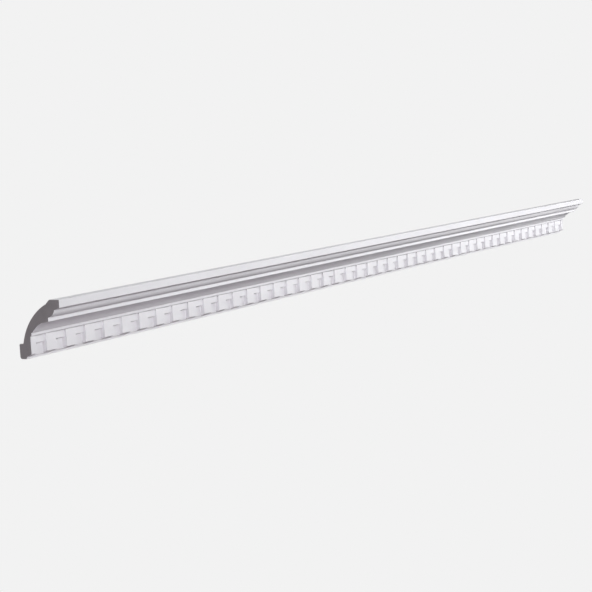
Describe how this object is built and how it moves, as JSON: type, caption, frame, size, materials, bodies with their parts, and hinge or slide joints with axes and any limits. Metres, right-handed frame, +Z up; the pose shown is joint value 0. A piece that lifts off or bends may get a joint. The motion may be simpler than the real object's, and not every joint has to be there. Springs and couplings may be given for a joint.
{
  "type": "dentil moulding",
  "caption": "White cast cornice moulding with a row of dentils under a cove, an ovolo and a plain fascia, cut square at both ends and glued to wall and ceiling.",
  "frame": {"origin": "middle of the flat strip that is glued to the wall, halfway along the length", "axes": "+X along the length, to the right for someone who faces the dentils, +Y back into the wall, +Z up to the ceiling"},
  "size_m": [2.4, 0.0869, 0.0964],
  "materials": {
    "white_primer": "satin white primer on dense cast foam"
  },
  "bodies": {
    "root": {"dentil_moulding": "white_primer"}
  },
  "joints": []
}
